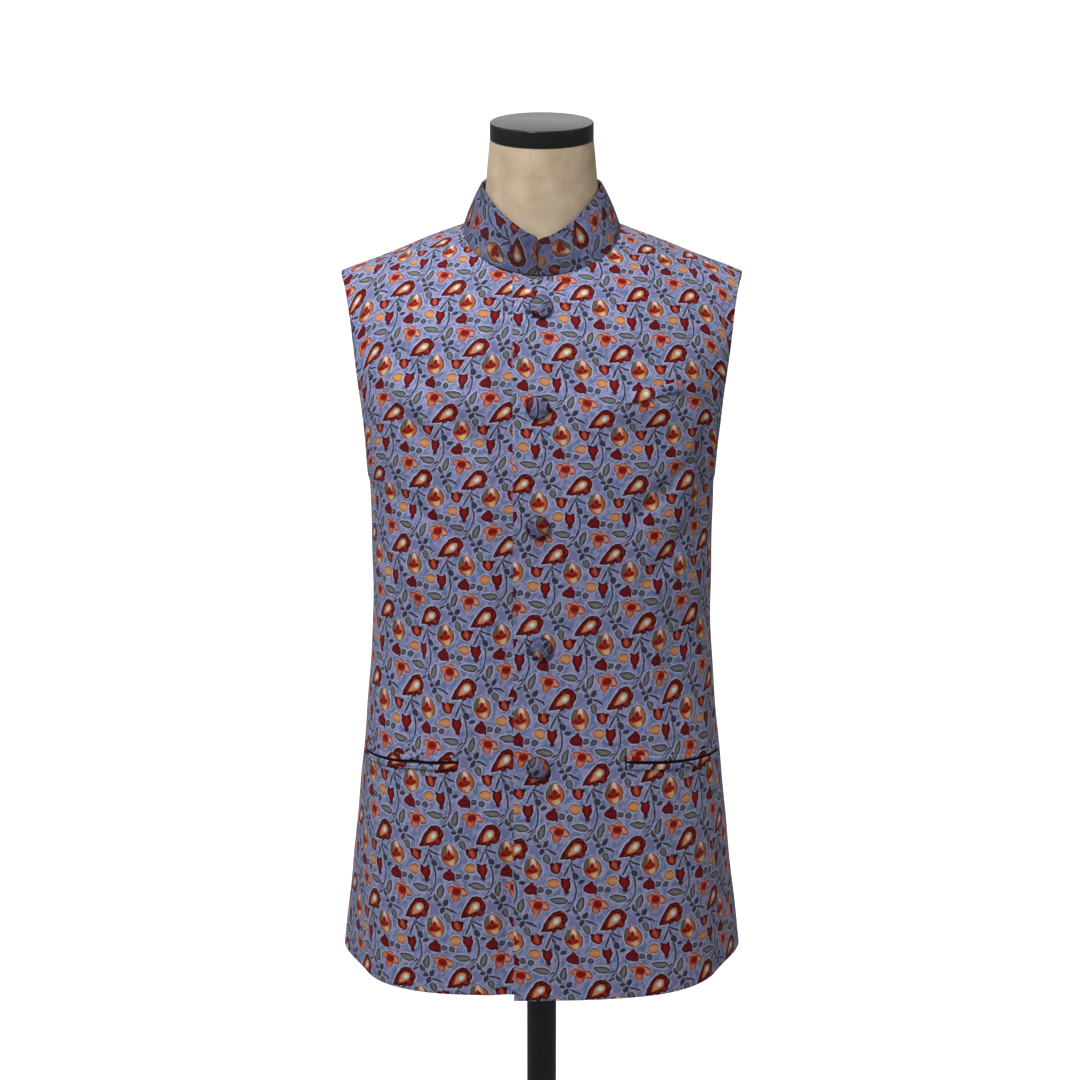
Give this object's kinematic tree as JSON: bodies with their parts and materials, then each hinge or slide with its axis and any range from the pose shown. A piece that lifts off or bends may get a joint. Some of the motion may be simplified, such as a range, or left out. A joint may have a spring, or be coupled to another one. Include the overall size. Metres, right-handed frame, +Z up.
{
  "type": "nehru jacket on a dress form",
  "caption": "Sleeveless band-collar nehru jacket in floral printed cotton, buttoned up on a limbless dress form with a pole and round base.",
  "frame": {"origin": "on the floor, under the middle of the stand's round base", "axes": "+Z up along the pole; the jacket's front faces -Y; +X is the wearer's left, the side of the top front and of the chest welt"},
  "size_m": [0.4286, 0.36, 1.58],
  "materials": {
    "printed_cloth": "matt printed cotton, periwinkle ground with a small red, orange and grey-green floral repeat",
    "covered_button": "the same printed cotton, drawn over a domed button",
    "linen": "natural linen, plain weave",
    "cap_lacquer": "black gloss lacquer",
    "stand_metal": "dark grey satin paint"
  },
  "bodies": {
    "root": {"front_left": "printed_cloth", "front_right": "printed_cloth", "back": "printed_cloth", "collar": "printed_cloth", "hip_lip_left_upper": "printed_cloth", "hip_lip_left_lower": "printed_cloth", "hip_lip_right_upper": "printed_cloth", "hip_lip_right_lower": "printed_cloth", "chest_welt": "printed_cloth", "button_1": "covered_button", "button_2": "covered_button", "button_3": "covered_button", "button_4": "covered_button", "button_5": "covered_button", "form_body": "linen", "neck_cap": "cap_lacquer", "pole": "stand_metal", "pole_socket": "stand_metal", "base": "stand_metal"}
  },
  "joints": []
}
